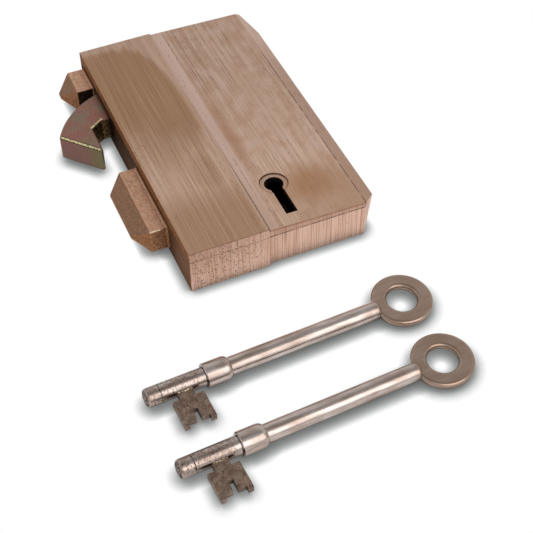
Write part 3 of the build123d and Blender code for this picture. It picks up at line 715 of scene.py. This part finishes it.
# Brass run into the joint of bit and shank, plated over: lumpy, bright and faintly golden
braze, spot, _ = metal("brass_braze")
lump = grain(braze, spot, (0.7, 0.7, 0.7), 3.0)
colour = add(braze, "ValToRGB", lump, stops=((0.35, "4E3C2E"), (0.5, "94806A"), (0.62, "DDD0BC")))
rough = add(braze, "MapRange", lump, 0.3, 0.7, 0.45, 0.2, **SMOOTH)
surface(braze, colour, 1.0, rough, lump, 0.06, 0.5)

STAMPED = ("bolt_slide", "lever_washer", *(f"lever_{count}" for count in range(1, 6)))
TURNED = (
    "cover_screws", "hook_pin", "lever_post", "guide_stud", "spring_post", "bolt_stump",
    "drive_pin",
)
for name, node in nodes.items():
    if name.startswith("lever_spring"):
        node.material_slots[0].material = blued
    elif name in STAMPED:
        node.material_slots[0].material = stamped
    elif name in TURNED:
        node.material_slots[0].material = turned


# Braze beads, one on each face of a key's bit, in the corner between its neck and the shank.
# A key's place is its x and y in millimetres and its turn about z in degrees
KEY_PLACES = {"key_1": (-50.5, -61.45, 3.4), "key_2": (-50.35, -90.4, 3.9)}
KEY_HEIGHT, KEY_PITCH, KEY_ROLL = 4.319, 1.037, 5.0
BEAD_X, BEAD_Y, BEAD_Z = -7.82, -3.0, 1.3
BEAD_HALF = (2.7, 0.5, 0.42)
LUMP_PITCH, LUMP_HEIGHT = 1.6, 0.7

for name, (key_x, key_y, key_turn) in KEY_PLACES.items():
    place = (
        Matrix.Translation((key_x, key_y, KEY_HEIGHT))
        @ Matrix.Rotation(math.radians(key_turn), 4, "Z")
        @ Matrix.Rotation(math.radians(KEY_PITCH), 4, "Y")
        @ Matrix.Rotation(math.radians(KEY_ROLL), 4, "X")
    )
    work = bmesh.new()
    for side in (1, -1):
        made = bmesh.ops.create_icosphere(work, subdivisions=4, radius=1)["verts"]
        bmesh.ops.scale(work, vec=BEAD_HALF, verts=made)
        for vert in made:
            lumps = noise.noise(vert.co * LUMP_PITCH + Vector((7.0 * side, key_y, 0)))
            vert.co += Vector((0, vert.co.y, vert.co.z)) * LUMP_HEIGHT * lumps
        bmesh.ops.translate(work, vec=(BEAD_X, BEAD_Y, side * BEAD_Z), verts=made)
    bmesh.ops.transform(work, matrix=Matrix.Scale(MM, 4) @ place, verts=work.verts)
    for facet in work.faces:
        facet.smooth = True
    bead_mesh = bpy.data.meshes.new(name + "_braze")
    work.to_mesh(bead_mesh)
    work.free()
    bead_mesh.materials.append(braze)
    bead = shown(name + "_braze", bead_mesh)
    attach(bead, name)


# Floor: plain white, with a painted shadow only close to what stands on it
FLOOR_HALF = 3
FLOOR_DROP = 0.05 * MM
SHADE_REACH = 4.6 * MM

floor_mesh = bpy.data.meshes.new("floor")
work = bmesh.new()
bmesh.ops.create_grid(work, x_segments=1, y_segments=1, size=FLOOR_HALF)
work.to_mesh(floor_mesh)
work.free()
floor = shown("floor", floor_mesh)
floor.location.z = -FLOOR_DROP

white = blank(bpy.data.materials.new("white_board"))
shade = add(
    white, "ValToRGB", add(white, "AmbientOcclusion", None, SHADE_REACH, samples=12),
    stops=(
        (0.0, "4A4B4A"), (0.36, "7C7E7D"), (0.52, "8B8D8C"), (0.65, "A4A6A5"),
        (0.77, "C4C6C5"), (0.88, "E4E5E4"), (0.965, "FFFFFF"),
    ),
)
rays = add(white, "LightPath").node.outputs
seen = add(white, "Math", rays["Is Glossy Ray"], rays["Is Transmission Ray"], **MOST)
seen = add(white, "Math", rays["Is Camera Ray"], seen, **MOST)
lit, glow = add(white, "BsdfDiffuse", "E1E1E1"), add(white, "Emission", shade, 1.0)
add(white, "OutputMaterial", add(white, "MixShader", seen, lit, glow))
floor_mesh.materials.append(white)


# Light: a soft front, even walls, a dim horizon and a dim ceiling, all plain white to the
# camera
world = blank(bpy.data.worlds.new("studio"))
bpy.context.scene.world = world
sky = add(world, "TexCoord").node.outputs["Generated"]
height = add(world, "SeparateXYZ", sky).node.outputs["Z"]
walls = add(
    world, "ValToRGB", height,
    stops=(
        (0.0, "A8A8A8"), (0.12, "B0B0B0"), (0.26, "E4E4E4"), (0.78, "E4E4E4"),
        (0.95, "ACACAC"),
    ),
)
toward = add(world, "VectorMath", sky, (0.27, -0.86, 0.43), operation="DOT_PRODUCT")
front = add(world, "MapRange", toward, 0.5, 0.92, 0, 0.4, **SMOOTH)
strength = add(world, "Math", walls, front, **SUM)
strength = add(world, "Math", strength, add(world, "LightPath"), **MOST)
add(world, "OutputWorld", add(world, "Background", "FFFFFF", strength))

box = bpy.data.lights.new("front_box", "AREA")
box.shape = "RECTANGLE"
box.size, box.size_y = 1.1, 0.8
box.energy = 3
box.color = tone("FFFAF5")[:3]
lamp = shown("front_box", box)
lamp.location = (0.30, -0.88, 0.75)
lamp.rotation_euler = (-lamp.location).to_track_quat("-Z", "Y").to_euler()

bpy.context.scene.view_settings.view_transform = "Standard"
